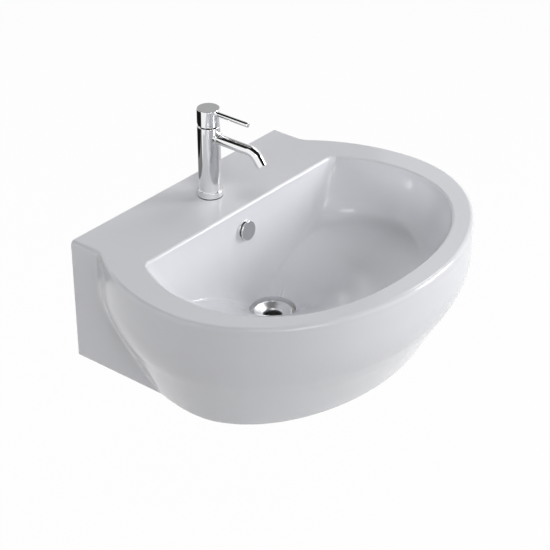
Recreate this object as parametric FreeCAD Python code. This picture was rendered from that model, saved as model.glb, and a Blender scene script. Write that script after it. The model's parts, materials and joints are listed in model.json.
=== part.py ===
import FreeCAD, Part
import math
import os

V = FreeCAD.Vector
UP = V(0, 0, 1)
BACK = V(0, 1, 0)
RIGHT = V(1, 0, 0)

# All sizes are in millimetres. The front of the basin faces -Y and its wall face is at y = 0.
# Shapes are drawn with the top of the rim at height 0. On export everything is raised, so
# that the origin is the middle of the two wall fixing holes, on the wall face.

# ---- basin: outside ----
basin_width = 600.0
basin_depth = 475.0
basin_height = 200.0
shoulder = 63.0              # how far the body stands out past the ledge on each side
shoulder_foot = 9.0          # and what is left of that at the foot
ledge_side = 47.4            # straight side of the ledge at the rim, from the wall
neck_radius_rim = 26.0       # hollow corner between ledge and bowl, at the rim
neck_radius_foot = 60.0      # and at the foot
skirt_start = 50.0           # depth at which the sides begin to draw in
crease_rise = 75.0           # of the faint line round the skirt, above the foot
crease_share = 0.39          # of the whole draw-in, reached at that line
front_tuck = 1.3             # how much more the front draws in than the sides
rim_edge_radius = 7.0
foot_edge_radius = 4.0

# ---- basin: walls ----
shell_wall = 12.0
deck_thickness = 16.0
back_wall = 15.0
boss_radius = 46.0
boss_set_up = 3.0            # the waste boss stops this far above the foot

# ---- basin: bowl ----
deck_width = 131.0           # from the wall to the bowl's straight back edge
bowl_set_forward = 5.0       # the bowl's widest line, in front of the outside's
rim_side = 48.0              # width of the rim beside the bowl
rim_front = 37.0             # and in front of it
bowl_back = 220.0            # how deep the back of the opening would be if it ran round
bowl_squareness = 2.2
bowl_corner = 18.0
bowl_edge_radius = 4.5
wall_draft_back = 14.0
wall_draft_front = 30.0
foot_back = 137.0
foot_corner = 45.0
waste_rise = 42.0            # of the floor at the waste recess, above the foot
floor_fall = 72.0            # from the floor's far edge down to the recess
floor_reach = 60.0
floor_round = 30.0           # length of the rounding between wall and floor
most_wall_rounded = 0.6      # and the most of each that it may take, as shares
most_floor_rounded = 0.8
recess_radius = 36.0
recess_clear = 6.0           # from the foot of the bowl's back wall to the recess
recess_drop = 10.0
recess_overlap = 1.0         # how far the floor runs on inside the recess's edge
edge_arc = math.radians(80)  # the edge roundings meet the level faces at a slight angle
edge_steps = 5
waste_hole = 46.0

# ---- basin: overflow ----
overflow_depth = 37.5        # from the rim to the middle of the overflow hole
overflow_hole = 24.0
duct_width = 28.0
duct_gap = 15.0
duct_wall = 8.0
duct_port = 12.0             # height of the duct's mouth in the waste hole
duct_port_width = 20.0

# ---- basin: fixings ----
wall_fixing_spacing = 280.0
wall_fixing_drop = 70.0
wall_fixing_hole = 16.0
tap_from_wall = 65.0
tap_hole = 34.0

# ---- overflow cover ----
cover_radius = 15.5
cover_thickness = 2.5
cover_standoff = 3.0         # clear space between the collar and the cover
collar_thickness = 2.0
collar_sleeve = 10.0
collar_bore = 9.6
cover_stem_radius = 3.0
clip_height = 5.0
clip_hub_radius = 5.0
clip_arm_width = 2.4

# ---- waste ----
flange_radius = 31.0
flange_edge = 5.0
flange_dish = 6.0
flange_seal = 1.5
flange_seal_set_in = 2.0     # the seal's edge stays this far inside the flange's
dish_sag = 0.4               # where the dish's arc passes, as a share of its depth
edge_sag = 0.15              # where the edge's arc passes, as a share of its height
waste_mouth = 30.0
tail_radius = 20.95
tail_bore = 17.0
tail_length = 95.0           # from the recess floor down
tail_funnel = 6.0
tail_groove = 1.0            # relief between the nut's thread and the trap's thread
trap_thread = 40.0           # length of the tail's end that the trap's nut takes
lower_seal_radius = 33.0
lower_seal_height = 6.0
slip_washer_height = 2.0
backnut_across = 52.0
backnut_height = 9.0

# ---- tap: outside ----
tap_radius = 17.5
head_bottom = 120.5
head_height = 26.5
head_gap = 2.0
head_edge = 0.8
base_ring_radius = 19.5
base_ring_height = 10.0
base_socket = 6.0
base_seal_height = 1.0
spigot_radius = 15.9
spigot_drop = 8.0
spout_height = 101.0
spout_radius = 8.3
spout_bore = 6.9
spout_reach = 104.0
outlet_height = 82.0
spout_bend = 20.0
spout_droop = 52.0
spout_collar_wall = 1.4
spout_collar_length = 2.5
lever_height = 142.0
lever_radius = 3.8
lever_reach = 78.0
lever_root = 9.5             # length of the pin inside the head
lever_lift = 20.0
lever_turn = 45.0

# ---- tap: water ways and fixing ----
inlet_radius = 5.0
inlet_depth = 10.0
inlet_spread = 14.4
inlet_forward = 4.0
passage_radius = 3.0
stud_radius = 4.0
stud_back = 8.0              # from the tap's axis towards the wall
stud_seat = 12.0
stud_length = 79.0
horseshoe_radius = 23.0
horseshoe_slot = 27.0
horseshoe_reach = 2.5
rubber_height = 3.0
plate_height = 2.0
fixing_nut_across = 13.0
fixing_nut_height = 6.5

# ---- tap: cartridge ----
chamber_radius = 14.0
chamber_floor = 81.5
port_seal_height = 1.6
port_seal_wall = 1.4
base_height = 4.4
channel_rise = 1.1           # of the outlet channel's floor above the base's underside
cartridge_radius = 12.2
cartridge_bore = 11.2
disc_height = 3.5
disc_film = 0.02             # water film between the two ceramic discs
port_radius = 2.6
port_side = 6.0
port_forward = 3.0
outlet_back = 5.6
outlet_radius = 2.9
moving_disc_radius = 8.6
pocket_depth = 1.8
pocket_half_width = 5.4
pocket_length = 7.0
carrier_height = 5.0
carrier_pocket = 2.5
ball_radius = 2.2
ball_rise = 3.0              # of the ball's middle above the moving disc
pivot_rise = 9.0             # of the lever's pivot above the ball's middle
rotor_gap = 0.3
rotor_height = 11.4
rotor_slot = 6.6
rotor_slot_front = 8.0
rotor_slot_back = 6.0
pivot_pin_radius = 1.25
pivot_pin_half = 9.0
lip_height = 2.0
lip_bore = 9.6
side_seal_height = 2.0
nut_height = 3.5
nut_bore = 10.2
nut_notch = 3.0
spindle_radius = 3.0
spindle_hub = 6.0
spindle_hub_depth = 8.0
spindle_hub_height = 8.0
spindle_neck = 1.8
spindle_square = 6.0
square_height = 14.0

# ---- tap: head ----
head_recess = 13.0
head_recess_height = 16.0
hub_radius = 7.0
hub_lift = 4.0
square_start = 2.0           # of the spindle's square above the head's underside
grub_radius = 2.0
grub_length = 4.0
grub_rise = 10.0
plug_radius = 2.5
plug_length = 3.0

# ---- aerator ----
aerator_gap = 0.1            # between the housing and the spout's bore
aerator_wall = 0.9
aerator_length = 8.0
aerator_set_in = 0.5
aerator_seal_height = 1.2
screen_height = 1.5
screen_hole = 0.55
screen_pitch = 1.75
screen_rings = 3
screen_first_ring = 6        # holes in the inmost ring, and as many more in each next one

# ---- how finely the free curves are stepped ----
arc_steps = 8                # along each arc of the outside's outline
front_steps = 12             # round the front of the outside and of the bowl
corner_steps = 5             # round a back corner of the bowl
side_steps = 6               # along the bowl's side, from that corner to its widest
skirt_steps = 16             # down the outside
bowl_steps = 14              # down the bowl's wall and along its floor
halvings = 50                # in the search for the bowl's back corner

# ---- clearances ----
open_end = 1.0               # how far a cut runs on past an open end
slide_gap = 0.05             # round a shaft in its hole
loose_gap = 0.3              # between curved faces that pass each other

# ---- plan sizes that follow from the sizes above ----
ledge_width = basin_width - 2 * shoulder
rim_circle = basin_width / 2 + neck_radius_rim
widest_line = ledge_side + math.sqrt(shoulder * (2 * rim_circle - shoulder))
foot_inset = shoulder - shoulder_foot
crease_inset = crease_share * foot_inset
bowl_centre = widest_line + bowl_set_forward
bowl_side = basin_width / 2 - rim_side
bowl_front = basin_depth - bowl_centre - rim_front
waste_from_wall = deck_width + wall_draft_back + recess_clear + recess_radius

# ---- sizes of the spout's pieces that follow from the sizes above ----
spout_collar_radius = spout_radius + spout_collar_wall
aerator_radius = spout_bore - aerator_gap

# ---- depths that follow from the sizes above, down from the rim ----
crease_depth = basin_height - crease_rise
floor_depth_waste = basin_height - waste_rise
floor_depth_edge = floor_depth_waste - floor_fall

# ---- levels that follow from the sizes above, upwards from the rim ----
recess_floor = -(floor_depth_waste + recess_drop)
boss_foot = -(basin_height - boss_set_up)
body_foot = base_seal_height + base_ring_height - base_socket
body_top = head_bottom - head_gap
base_bottom = chamber_floor + port_seal_height
base_top = base_bottom + base_height
moving_disc_bottom = base_top + disc_height + disc_film
carrier_bottom = moving_disc_bottom + disc_height
ball_level = carrier_bottom + ball_rise
pivot_level = ball_level + pivot_rise
rotor_bottom = carrier_bottom + carrier_height + rotor_gap
rotor_top = rotor_bottom + rotor_height
housing_inside_top = rotor_top + rotor_gap
housing_top = housing_inside_top + lip_height
disc_travel = pivot_rise * math.radians(lever_lift)
disc_rest = disc_travel / 2  # the moving disc's middle at rest, behind the tap's axis
wall_slope = wall_draft_back / (floor_depth_waste - bowl_edge_radius)


def heights_from_rim(shape):
    """Move a finished shape from the rim datum to the part's own origin."""
    moved = shape.copy()
    moved.translate(V(0, 0, wall_fixing_drop))
    return moved


def export(name, shape):
    if isinstance(shape, list):
        shape = Part.makeCompound(shape)
    for solid in shape.Solids:
        if not solid.isValid() or solid.Volume <= 0:
            raise ValueError("broken solid in " + name)
    heights_from_rim(shape).exportStep("parts/" + name + ".step")


# ---------------------------------------------------------------- basin

def skirt_inset(depth):
    """How far the outside has drawn in at one depth below the rim."""
    if depth <= skirt_start:
        return 0.0
    if depth <= crease_depth:
        share = (depth - skirt_start) / (crease_depth - skirt_start)
        return crease_inset * share ** 2
    slope = (foot_inset - crease_inset) / (basin_height - crease_depth)
    return crease_inset + slope * (depth - crease_depth)


def skirt_curve(depth, wall):
    """Points of the right half of the outline, from the ledge round to the front."""
    inset = skirt_inset(depth)
    side = basin_width / 2 - inset - wall
    front = basin_depth - widest_line - front_tuck * inset - wall
    half_ledge = ledge_width / 2 - wall
    share = depth / basin_height
    neck = neck_radius_rim + share * (neck_radius_foot - neck_radius_rim) + wall
    neck_x = half_ledge + neck
    neck_y = math.sqrt((side + neck) ** 2 - neck_x ** 2)
    turn = math.atan2(neck_y, neck_x)
    points = []
    for i in range(arc_steps):
        a = math.pi + turn * i / arc_steps
        points.append((neck_x + neck * math.cos(a), neck_y + neck * math.sin(a)))
    for i in range(arc_steps):
        a = turn * (1 - i / arc_steps)
        points.append((side * math.cos(a), side * math.sin(a)))
    for i in range(front_steps + 1):
        a = -math.pi / 2 * i / front_steps
        points.append((side * math.cos(a), front * math.sin(a)))
    return [(x, y - widest_line) for x, y in points]


def skirt_wire(depth, wall, back):
    """The whole outline at one depth, drawn in by a wall thickness."""
    z = -depth
    right = skirt_curve(depth, wall)
    left = [(-x, y) for x, y in reversed(right[:-1])]
    points = [V(x, y, z) for x, y in right + left]
    count = len(points)
    curve = Part.BSplineCurve()
    curve.interpolate(
        Points=points,
        Parameters=[i / (count - 1) for i in range(count)],
    )
    right_back = V(points[0].x, -back, z)
    left_back = V(points[-1].x, -back, z)
    return Part.Wire([
        Part.makeLine(left_back, right_back),
        Part.makeLine(right_back, points[0]),
        curve.toShape(),
        Part.makeLine(points[-1], left_back),
    ])


def skirt_solid(top, bottom, wall, back):
    """The outline's solid between two depths."""
    step = (bottom - top) / skirt_steps
    depths = [top + step * i for i in range(skirt_steps + 1)]
    wires = [skirt_wire(depth, wall, back) for depth in depths]
    return Part.makeLoft(wires, True, False)


def edge_round(radius):
    """Draw-in and distance from the edge, round the arc that meets it at a slight angle."""
    start = math.pi / 2 - edge_arc
    turns = [start + edge_arc * i / edge_steps for i in range(edge_steps + 1)]
    flat = math.cos(start)
    return [(radius * (1 - math.sin(a)), radius * (1 - math.cos(a) / flat)) for a in turns]


def rounded_skirt():
    """The outside of the basin with its rim and foot edges rounded."""
    past = -open_end
    rim = [skirt_wire(drop, inset, past) for inset, drop in edge_round(rim_edge_radius)]
    foot = [skirt_wire(basin_height - rise, inset, past)
            for inset, rise in edge_round(foot_edge_radius)]
    middle = skirt_solid(rim_edge_radius, basin_height - foot_edge_radius, 0.0, past)
    rim_solid = Part.makeLoft(rim, True, False)
    foot_solid = Part.makeLoft(foot, True, False)
    whole = middle.fuse(rim_solid).fuse(foot_solid).removeSplitter()
    behind_wall = block(-basin_width, basin_width, 0.0, 2 * open_end,
                        -basin_height - open_end, open_end)
    return whole.cut(behind_wall)


def floor_depth(distance):
    """Depth of the bowl's floor at a distance from the edge of the waste recess."""
    drop = floor_depth_waste - floor_depth_edge
    return floor_depth_edge + drop * math.exp(-distance / floor_reach)


def bowl_outline(back_edge, side, front, back, corner):
    """Half a bowl outline, from the middle of its back edge to the middle of its front."""
    lift = bowl_centre - back_edge

    def corner_centre(a):
        normal = V(math.cos(a) / side, math.sin(a) / back, 0).normalize()
        return V(side * math.cos(a), back * math.sin(a), 0) - normal * corner, normal

    low, high = 0.0, math.pi / 2
    for _ in range(halvings):
        middle = (low + high) / 2
        if corner_centre(middle)[0].y < lift - corner:
            low = middle
        else:
            high = middle
    centre, normal = corner_centre(low)
    points = []
    for i in range(arc_steps):
        share = i / arc_steps
        points.append((centre.x * share * (3 - share) / 2, lift))
    end = math.atan2(normal.y, normal.x)
    for i in range(corner_steps):
        a = math.pi / 2 + (end - math.pi / 2) * i / corner_steps
        points.append((centre.x + corner * math.cos(a), centre.y + corner * math.sin(a)))
    for i in range(side_steps):
        a = low * (1 - i / side_steps)
        points.append((side * math.cos(a), back * math.sin(a)))
    power = 2 / bowl_squareness
    for i in range(front_steps + 1):
        a = math.pi / 2 * i / front_steps
        x = side * max(math.cos(a), 0.0) ** power
        points.append((x, -front * math.sin(a) ** power))
    return [V(x, y - bowl_centre, 0) for x, y in points]


def bowl_profiles(grow):
    """For each point of the rim, the way down the wall and along the floor to the waste."""
    rim = bowl_outline(deck_width - grow, bowl_side + grow, bowl_front + grow,
                       bowl_back + grow, bowl_corner + grow)
    foot = bowl_outline(deck_width + wall_draft_back - grow,
                        bowl_side - wall_draft_front + grow,
                        bowl_front - wall_draft_front + grow,
                        foot_back + grow, foot_corner + grow)
    waste = V(0, -waste_from_wall, 0)
    radius = recess_radius + grow
    profiles = []
    for top, base in zip(rim, foot):
        top = top - UP * bowl_edge_radius
        out = base - waste
        distance = out.Length - radius
        edge = waste + out * ((radius - recess_overlap) / out.Length)
        base = base - UP * (floor_depth(distance) + grow)
        edge = edge - UP * (floor_depth(-recess_overlap) + grow)
        profiles.append((top, base, edge, waste, radius, grow))
    return profiles


def profile_point(profile, share):
    """A point on one profile, at a share of its length from the rim to the waste."""
    top, base, edge, waste, radius, grow = profile

    def on_floor(part):
        spot = base + (edge - base) * part
        flat = V(spot.x, spot.y, 0)
        return flat - UP * (floor_depth((flat - waste).Length - radius) + grow)

    wall = (base - top).Length
    floor = (edge - base).Length
    before = min(floor_round, wall * most_wall_rounded)
    after = min(floor_round, floor * most_floor_rounded)
    way = share * (wall + floor)
    if way <= wall - before:
        return top + (base - top) * (way / wall)
    if way >= wall + after:
        return on_floor((way - wall) / floor)
    u = (way - wall + before) / (before + after)
    first = top + (base - top) * (1 - before / wall)
    last = on_floor(after / floor)
    return first * (1 - u) ** 2 + base * (2 * u * (1 - u)) + last * u ** 2


def closed_wire(right):
    """A smooth closed outline from its right half."""
    left = [V(-p.x, p.y, p.z) for p in reversed(right[1:-1])]
    points = right + left
    curve = Part.BSplineCurve()
    curve.interpolate(
        Points=points,
        PeriodicFlag=True,
        Parameters=[i / len(points) for i in range(len(points) + 1)],
    )
    return Part.Wire([curve.toShape()])


def bowl_solid(grow):
    """The hollow of the bowl down to the waste recess, or the same grown by the wall."""
    profiles = bowl_profiles(grow)
    wires = []
    for k in range(bowl_steps + 1):
        wires.append(closed_wire([profile_point(p, k / bowl_steps) for p in profiles]))
    return Part.makeLoft(wires, True, False)


def lip_solid():
    """The rounded edge where the deck turns down into the bowl."""
    wires = []
    for i in range(edge_steps + 1):
        a = edge_arc * i / edge_steps
        spread = bowl_edge_radius * (1 - math.cos(a))
        rise = bowl_edge_radius * math.sin(a) / math.sin(edge_arc)
        right = bowl_outline(deck_width - spread, bowl_side + spread, bowl_front + spread,
                             bowl_back + spread, bowl_corner + spread)
        wires.append(closed_wire([p + UP * (rise - bowl_edge_radius) for p in right]))
    return Part.makeLoft(wires, True, False)


def block(x0, x1, y0, y1, z0, z1):
    return Part.makeBox(x1 - x0, y1 - y0, z1 - z0, V(x0, y0, z0))


def rod(radius, z0, z1, edge=0.0):
    """An upright cylinder, with both its edges rounded if asked."""
    shape = Part.makeCylinder(radius, z1 - z0, V(0, 0, z0))
    if edge:
        rims = [e for e in shape.Edges if len(e.Vertexes) == 1]
        shape = shape.makeFillet(edge, rims)
    return shape


def ring(outer, inner, z0, z1):
    return rod(outer, z0, z1).cut(rod(inner, z0, z1))


def hexagon(across, z0, z1):
    radius = across / math.sqrt(3)
    corners = [V(radius * math.cos(math.radians(60 * i)),
                 radius * math.sin(math.radians(60 * i)), z0) for i in range(7)]
    return Part.Face(Part.makePolygon(corners)).extrude(UP * (z1 - z0))


def spun(points):
    """A shape turned about the upright axis from its half section in (radius, height)."""
    corners = [V(r, 0, z) for r, z in points]
    face = Part.Face(Part.makePolygon(corners + corners[:1]))
    return face.revolve(V(0, 0, 0), UP, 360)


def along_y(radius, y0, y1, z, x=0.0):
    """A cylinder that lies along the Y axis."""
    return Part.makeCylinder(radius, y1 - y0, V(x, y0, z), BACK)


# ---------------------------------------------------------------- basin, put together

def wall_face_y(depth):
    """Where the bowl's back wall is, at one depth on the middle line."""
    return -deck_width - wall_slope * (depth - bowl_edge_radius)


def on_back_wall(shape):
    """Stand a shape drawn upright on the bowl's back wall, at the overflow hole."""
    tilt = 90 - math.degrees(math.atan(wall_slope))
    placed = shape.copy()
    placed.rotate(V(0, 0, 0), RIGHT, tilt)
    placed.translate(V(0, wall_face_y(overflow_depth), -overflow_depth))
    return placed


def duct(wall):
    """The overflow duct behind the bowl, as a block grown by its own wall."""
    half = duct_width / 2 + wall
    inner_front = wall_face_y(overflow_depth) + shell_wall
    front = wall_face_y(floor_depth_waste) if wall else inner_front
    back = inner_front + duct_gap + wall
    port_top = recess_floor - duct_wall
    port_bottom = port_top - duct_port
    down = block(-half, half, front, back, port_bottom - wall,
                 -overflow_depth + overflow_hole / 2 + wall)
    half_port = duct_port_width / 2 + wall
    across = block(-half_port, half_port, -waste_from_wall, back,
                   port_bottom - wall, port_top + wall)
    return down.fuse(across)


def basin():
    waste = V(0, -waste_from_wall, 0)
    recess = Part.makeCylinder(recess_radius, recess_drop + 2 * recess_overlap,
                               waste + UP * recess_floor)
    hollow = bowl_solid(0.0).fuse(lip_solid()).fuse(recess)
    under = skirt_solid(deck_thickness, basin_height + open_end, shell_wall, back_wall)
    boss = Part.makeCylinder(boss_radius, -floor_depth_waste - boss_foot,
                             waste + UP * boss_foot)
    under = under.cut(bowl_solid(shell_wall)).cut(boss).cut(duct(duct_wall))
    body = rounded_skirt().cut(hollow).cut(under).cut(duct(0.0))
    hole = Part.makeCylinder(waste_hole / 2, basin_height, waste - UP * basin_height)
    body = body.cut(hole)
    body = body.cut(on_back_wall(rod(overflow_hole / 2, -shell_wall - duct_gap / 2,
                                     duct_gap)))
    body = body.cut(on_back_wall(rod(cover_radius + slide_gap, 0.0, duct_gap)))
    body = body.cut(on_tap(rod(tap_hole / 2, -deck_thickness, 0.0)))
    for side in (-1, 1):
        body = body.cut(along_y(wall_fixing_hole / 2, -back_wall, 0.0, -wall_fixing_drop,
                                side * wall_fixing_spacing / 2))
    return body


# ---------------------------------------------------------------- overflow cover

def overflow_collar():
    flange = rod(cover_radius, 0.0, collar_thickness, collar_thickness / 4)
    sleeve = rod(overflow_hole / 2 - slide_gap, -collar_sleeve, 0.0)
    bore = rod(collar_bore, -collar_sleeve, collar_thickness)
    return on_back_wall(flange.fuse(sleeve).cut(bore))


def overflow_cover():
    bottom = collar_thickness + cover_standoff
    disc = rod(cover_radius, bottom, bottom + cover_thickness, cover_thickness / 4)
    stem = rod(cover_stem_radius, -collar_sleeve, bottom)
    return on_back_wall(disc.fuse(stem))


def overflow_clip():
    """Three sprung arms that hold the cover's stem in the collar."""
    low = -collar_sleeve + clip_height / 2
    high = low + clip_height
    shape = ring(clip_hub_radius, cover_stem_radius + slide_gap, low, high)
    for i in range(3):
        arm = block(clip_hub_radius - clip_arm_width / 4, collar_bore - clip_arm_width / 2,
                    -clip_arm_width / 2, clip_arm_width / 2, low, high)
        pad = ring(collar_bore, collar_bore - clip_arm_width, low, high)
        pad = pad.common(block(0, collar_bore, -clip_arm_width, clip_arm_width, low, high))
        arm = arm.fuse(pad)
        arm.rotate(V(0, 0, 0), UP, 120 * i + 90)
        shape = shape.fuse(arm)
    return on_back_wall(shape.removeSplitter())


# ---------------------------------------------------------------- waste

def on_waste(shape):
    placed = shape.copy()
    placed.translate(V(0, -waste_from_wall, 0))
    return placed


def waste_flange():
    """Dished flange and threaded tail, with two windows for the overflow."""
    seat = recess_floor + flange_seal
    top = seat + flange_edge
    mouth = waste_mouth / 2
    tail_end = recess_floor - tail_length
    groove = tail_end + trap_thread
    dish = Part.Arc(V(mouth, 0, top - flange_dish),
                    V((mouth + flange_radius) / 2, 0, top - flange_dish * dish_sag),
                    V(flange_radius - flange_edge / 2, 0, top)).toShape()
    edge = Part.Arc(V(flange_radius - flange_edge / 2, 0, top),
                    V(flange_radius - flange_edge * edge_sag, 0,
                      top - flange_edge * edge_sag),
                    V(flange_radius, 0, top - flange_edge / 2)).toShape()
    outline = [(flange_radius, top - flange_edge / 2), (flange_radius, seat),
               (tail_radius, seat), (tail_radius, groove + 2 * tail_groove),
               (tail_radius - tail_groove, groove + 2 * tail_groove),
               (tail_radius - tail_groove, groove), (tail_radius, groove),
               (tail_radius, tail_end), (tail_bore, tail_end),
               (tail_bore, top - flange_dish - 2 * tail_funnel),
               (mouth, top - flange_dish - tail_funnel), (mouth, top - flange_dish)]
    lines = Part.makePolygon([V(r, 0, z) for r, z in outline])
    wire = Part.Wire([dish, edge] + lines.Edges)
    shape = Part.Face(wire).revolve(V(0, 0, 0), UP, 360)
    window_top = recess_floor - duct_wall
    window = block(-duct_port_width / 2, duct_port_width / 2, -tail_radius, tail_radius,
                   window_top - duct_port, window_top)
    shape = shape.cut(window)
    return on_waste(shape)


def waste_upper_seal():
    return on_waste(ring(flange_radius - flange_seal_set_in, tail_radius + slide_gap,
                         recess_floor, recess_floor + flange_seal))


def waste_lower_seal():
    """Tapered rubber washer that closes the waste hole from below."""
    low = boss_foot - lower_seal_height
    inner = tail_radius + slide_gap
    return on_waste(spun([(inner, low), (lower_seal_radius, low),
                          (lower_seal_radius, low + lower_seal_height / 2),
                          (lower_seal_radius - lower_seal_height / 2, boss_foot),
                          (inner, boss_foot)]))


def waste_slip_washer():
    top = boss_foot - lower_seal_height
    return on_waste(ring(lower_seal_radius, tail_radius + slide_gap,
                         top - slip_washer_height, top))


def waste_backnut():
    top = boss_foot - lower_seal_height - slip_washer_height
    nut = hexagon(backnut_across, top - backnut_height, top)
    return on_waste(nut.cut(rod(tail_radius + slide_gap, top - backnut_height, top)))


# ---------------------------------------------------------------- tap

def on_tap(shape):
    placed = shape.copy()
    placed.translate(V(0, -tap_from_wall, 0))
    return placed


def tap_base_seal():
    return on_tap(ring(base_ring_radius - slide_gap, tap_hole / 2, 0.0, base_seal_height))


def tap_base_ring():
    top = base_seal_height + base_ring_height
    shape = rod(base_ring_radius, base_seal_height, top, head_edge)
    shape = shape.cut(rod(spigot_radius + slide_gap, base_seal_height, top))
    return on_tap(shape.cut(rod(tap_radius + slide_gap, body_foot, top)))


def tap_body():
    """Hollow column: chamber for the cartridge above, water ways and threads below."""
    shape = rod(tap_radius, body_foot, body_top, head_edge)
    shape = shape.fuse(rod(spigot_radius, -spigot_drop, body_foot + head_edge))
    shape = shape.cut(rod(chamber_radius, chamber_floor, body_top))
    for side in (-1, 1):
        foot = V(side * inlet_spread / 2, -inlet_forward, -spigot_drop)
        shape = shape.cut(Part.makeCylinder(inlet_radius, inlet_depth, foot))
        head = V(side * port_side, -port_forward, chamber_floor)
        start = foot + UP * (inlet_depth / 2)
        way = Part.makeCylinder(passage_radius, (head - start).Length + inlet_radius / 2,
                                start, head - start)
        shape = shape.cut(way.common(rod(tap_radius, -spigot_drop, chamber_floor)))
    shape = shape.cut(Part.makeCylinder(stud_radius, stud_seat,
                                        V(0, stud_back, -spigot_drop)))
    return on_tap(shape.cut(along_y(spout_radius + slide_gap, -tap_radius - head_gap,
                                    -cartridge_radius, spout_height)))


def mounting_stud():
    top = stud_seat - spigot_drop
    return on_tap(Part.makeCylinder(stud_radius - slide_gap, stud_length,
                                    V(0, stud_back, top - stud_length)))


def horseshoe(top, height):
    """Fixing plate with a slot that clears both inlets, and a hole for the stud."""
    shape = rod(horseshoe_radius, top - height, top)
    half = horseshoe_slot / 2
    shape = shape.cut(block(-half, half, -horseshoe_radius, horseshoe_reach,
                            top - height, top))
    shape = shape.cut(Part.makeCylinder(stud_radius + slide_gap, height,
                                        V(0, stud_back, top - height)))
    return on_tap(shape)


def fixing_nut():
    top = -deck_thickness - rubber_height - plate_height
    nut = hexagon(fixing_nut_across, top - fixing_nut_height, top)
    nut = nut.cut(rod(stud_radius, top - fixing_nut_height, top))
    nut.translate(V(0, stud_back, 0))
    return on_tap(nut)


def spout_turns():
    """Where the spout starts, where its bend starts and ends, and its outlet."""
    droop = math.radians(spout_droop)
    run = (spout_height - outlet_height - spout_bend * (1 - math.cos(droop)))
    run = run / math.sin(droop)
    bend_y = -spout_reach + run * math.cos(droop) + spout_bend * math.sin(droop)
    half = droop / 2
    start = V(0, -chamber_radius - loose_gap, spout_height)
    bend = V(0, bend_y, spout_height)
    middle = bend + V(0, -spout_bend * math.sin(half), -spout_bend * (1 - math.cos(half)))
    leave = bend + V(0, -spout_bend * math.sin(droop), -spout_bend * (1 - math.cos(droop)))
    outlet = V(0, -spout_reach, outlet_height)
    return start, bend, middle, leave, outlet


def spout_tube():
    start, bend, middle, leave, outlet = spout_turns()
    path = Part.Wire([Part.makeLine(start, bend), Part.Arc(bend, middle, leave).toShape(),
                      Part.makeLine(leave, outlet)])
    tubes = []
    for radius in (spout_radius, spout_bore):
        circle = Part.Wire([Part.makeCircle(radius, start, BACK)])
        tubes.append(path.makePipeShell([circle], True, False))
    return on_tap(tubes[0].cut(tubes[1]))


def spout_collar():
    """Retaining ring round the spout's root, hollowed to the column behind it."""
    front = -tap_radius - spout_collar_length
    shape = along_y(spout_collar_radius, front, -chamber_radius, spout_height)
    rim = [e for e in shape.Edges if len(e.Vertexes) == 1 and e.BoundBox.YMax < front + 1]
    shape = shape.makeFillet(spout_collar_length / 4, rim)
    shape = shape.cut(along_y(spout_radius + slide_gap, front, -chamber_radius,
                              spout_height))
    return on_tap(shape.cut(rod(tap_radius, 0.0, body_top)))


def at_outlet(shape):
    """Put a shape drawn upright, with its mouth at height 0, in the spout's outlet."""
    leave, outlet = spout_turns()[3:]
    placed = shape.copy()
    placed.rotate(V(0, 0, 0), RIGHT, 90 + spout_droop)
    placed.translate(outlet)
    return on_tap(placed)


def aerator_housing():
    return at_outlet(ring(aerator_radius, aerator_radius - aerator_wall,
                          -aerator_set_in - aerator_length, -aerator_set_in))


def aerator_insert():
    """Round screen with rings of fine holes."""
    top = -2 * aerator_set_in
    bottom = top - screen_height
    shape = rod(aerator_radius - aerator_wall - slide_gap / 2, bottom, top)
    holes = [Part.makeCylinder(screen_hole, screen_height, V(0, 0, bottom))]
    for step in range(1, screen_rings + 1):
        count = screen_first_ring * step
        for i in range(count):
            a = 2 * math.pi * i / count
            spot = V(math.cos(a), math.sin(a), 0) * (screen_pitch * step)
            holes.append(Part.makeCylinder(screen_hole, screen_height, spot + UP * bottom))
    return at_outlet(shape.cut(holes))


def aerator_seal():
    bottom = -aerator_set_in - aerator_length
    return at_outlet(ring(aerator_radius, aerator_radius - 2 * aerator_wall,
                          bottom - aerator_seal_height, bottom))


# ---------------------------------------------------------------- cartridge

def ports(z0, z1, radius):
    return [Part.makeCylinder(radius, z1 - z0, V(side * port_side, -port_forward, z0))
            for side in (-1, 1)]


def cartridge_port_seals():
    """Two rings round the water ways, under the cartridge."""
    outer = ports(chamber_floor, base_bottom, passage_radius + port_seal_wall)
    inner = ports(chamber_floor, base_bottom, passage_radius)
    return [on_tap(a.cut(b)) for a, b in zip(outer, inner)]


def cartridge_base():
    shape = rod(cartridge_radius, base_bottom, base_top)
    shape = shape.cut(ports(base_bottom, base_top, port_radius))
    channel_floor = base_bottom + channel_rise
    channel = block(-outlet_radius, outlet_radius, outlet_back, cartridge_radius,
                    channel_floor, base_top)
    well = Part.makeCylinder(outlet_radius, base_top - channel_floor,
                             V(0, outlet_back, channel_floor))
    return on_tap(shape.cut(channel).cut(well))


def cartridge_housing():
    shape = rod(cartridge_radius, base_top, housing_top)
    shape = shape.fuse(rod(chamber_radius - slide_gap, housing_inside_top, housing_top))
    shape = shape.cut(rod(cartridge_bore, base_top, housing_inside_top))
    return on_tap(shape.cut(rod(lip_bore, housing_inside_top, housing_top)))


def cartridge_side_seal():
    return on_tap(ring(chamber_radius, cartridge_radius,
                       housing_inside_top - side_seal_height, housing_inside_top))


def fixed_disc():
    top = base_top + disc_height
    shape = rod(cartridge_bore - slide_gap, base_top, top)
    shape = shape.cut(ports(base_top, top, port_radius))
    return on_tap(shape.cut(Part.makeCylinder(outlet_radius, disc_height,
                                              V(0, outlet_back, base_top))))


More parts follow.
